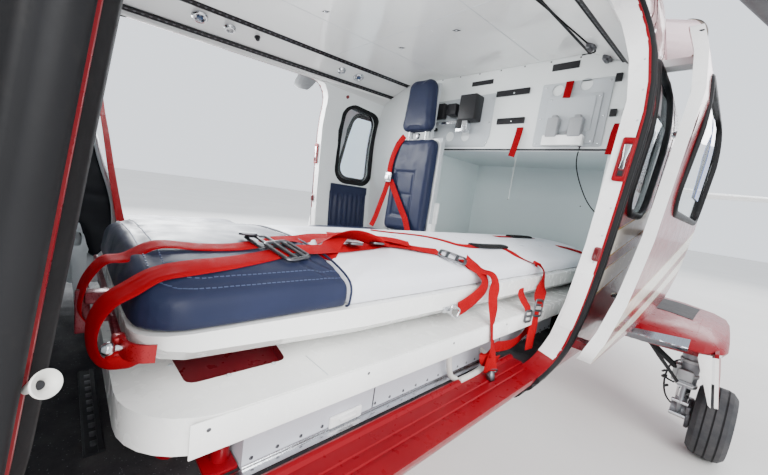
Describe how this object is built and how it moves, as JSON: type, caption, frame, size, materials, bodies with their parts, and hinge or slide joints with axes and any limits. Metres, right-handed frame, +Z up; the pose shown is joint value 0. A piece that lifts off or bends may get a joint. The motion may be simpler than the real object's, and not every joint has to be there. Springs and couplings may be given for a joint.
{
  "type": "helicopter",
  "caption": "Light air ambulance helicopter standing on its wheels, both cabin doors slid back on a stretcher, cabin seat and crew seats.",
  "frame": {"origin": "on the ground under the middle of the overall length, rotor at rest", "axes": "+X to port, +Y aft towards the tail, +Z up"},
  "size_m": [10.3988, 12.7395, 3.25],
  "materials": {
    "paint_red": "gloss",
    "paint_white": "satin",
    "lining_white": "semi-matt",
    "seat_fabric": "satin",
    "pad_cover": "satin",
    "black_composite": "matt",
    "bare_metal": "brushed",
    "dark_metal": "matt",
    "rim": "satin",
    "tyre": "matt",
    "glazing": "clear"
  },
  "bodies": {
    "airframe": {"nose_cone": "paint_red", "belly_and_floor": "paint_red", "cabin_frame": "paint_red", "aft_fuselage": "paint_red", "tail_fin": "paint_red", "stabiliser": "paint_white", "tail_boom": "paint_red", "front_fairing": "paint_red", "engine_cowling": "paint_red", "engines_and_gearbox": "dark_metal", "stub_wing_left": "paint_red", "main_gear_leg_left": "bare_metal", "stub_wing_right": "paint_red", "main_gear_leg_right": "bare_metal", "nose_gear_leg": "bare_metal", "cabin_door_left": "paint_red", "cabin_door_glass_left": "glazing", "rear_window_left": "glazing", "windscreen_left": "glazing", "cabin_door_right": "paint_red", "cabin_door_glass_right": "glazing", "rear_window_right": "glazing", "windscreen_right": "glazing", "ceiling_lining": "lining_white", "aft_wall_panel": "lining_white", "stretcher_floor_box": "bare_metal", "stretcher_deck": "paint_white", "stretcher_deck_leg": "paint_red", "litter_pan": "paint_white", "mattress_head_pad": "seat_fabric", "mattress_body_pad": "pad_cover", "cabin_seat_frame": "lining_white", "cabin_seat_cushion": "seat_fabric", "cabin_seat_back": "seat_fabric", "cabin_seat_headrest": "seat_fabric", "crew_seat_frame": "black_composite", "crew_seat_cushion": "seat_fabric", "pilot_seat_left": "seat_fabric", "pilot_seat_right": "seat_fabric", "instrument_console": "black_composite"},
    "main_rotor": {"rotor_hub": "dark_metal", "rotor_blade_1": "black_composite", "rotor_blade_2": "black_composite", "rotor_blade_3": "black_composite", "rotor_blade_4": "black_composite"},
    "tail_rotor": {"tail_rotor": "paint_white"},
    "cockpit_door_left": {"cockpit_door_left": "paint_red", "cockpit_door_glass_left": "glazing"},
    "cockpit_door_right": {"cockpit_door_right": "paint_red", "cockpit_door_glass_right": "glazing"},
    "baggage_door": {"baggage_door": "paint_red"},
    "main_wheel_left": {"main_wheel_left": "rim", "main_tyre_left": "tyre"},
    "main_wheel_right": {"main_wheel_right": "rim", "main_tyre_right": "tyre"},
    "nose_fork": {"nose_fork": "bare_metal"},
    "nose_wheel": {"nose_wheel": "rim", "nose_tyre": "tyre"}
  },
  "joints": [
    {"name": "main_rotor_spin", "type": "hinge", "parent": "airframe", "child": "main_rotor", "pos_m": [0, -1.16982, 3.08], "axis": [0, 0, 1], "continuous": true},
    {"name": "tail_rotor_spin", "type": "hinge", "parent": "airframe", "child": "tail_rotor", "pos_m": [0.239, 5.49018, 1.9], "axis": [1, 0, 0], "continuous": true},
    {"name": "cockpit_door_left_hinge", "type": "hinge", "parent": "airframe", "child": "cockpit_door_left", "pos_m": [0.726, -3.80782, 1.2], "axis": [0, 0, -1], "range_deg": [0, 70]},
    {"name": "cockpit_door_right_hinge", "type": "hinge", "parent": "airframe", "child": "cockpit_door_right", "pos_m": [-0.726, -3.80782, 1.2], "axis": [0, 0, 1], "range_deg": [0, 70]},
    {"name": "baggage_door_hinge", "type": "hinge", "parent": "airframe", "child": "baggage_door", "pos_m": [0.754, -0.10782, 1.3], "axis": [0, 0, -1], "range_deg": [0, 80]},
    {"name": "main_wheel_left_spin", "type": "hinge", "parent": "airframe", "child": "main_wheel_left", "pos_m": [1.135, -0.10982, 0.188], "axis": [1, 0, 0], "continuous": true},
    {"name": "main_wheel_right_spin", "type": "hinge", "parent": "airframe", "child": "main_wheel_right", "pos_m": [-1.135, -0.10982, 0.188], "axis": [1, 0, 0], "continuous": true},
    {"name": "nose_gear_swivel", "type": "hinge", "parent": "airframe", "child": "nose_fork", "pos_m": [0, -3.64982, 0.36], "axis": [0, 0, 1], "range_deg": [-50, 50]},
    {"name": "nose_wheel_spin", "type": "hinge", "parent": "nose_fork", "child": "nose_wheel", "pos_m": [0, -3.60482, 0.165], "axis": [1, 0, 0], "continuous": true}
  ]
}
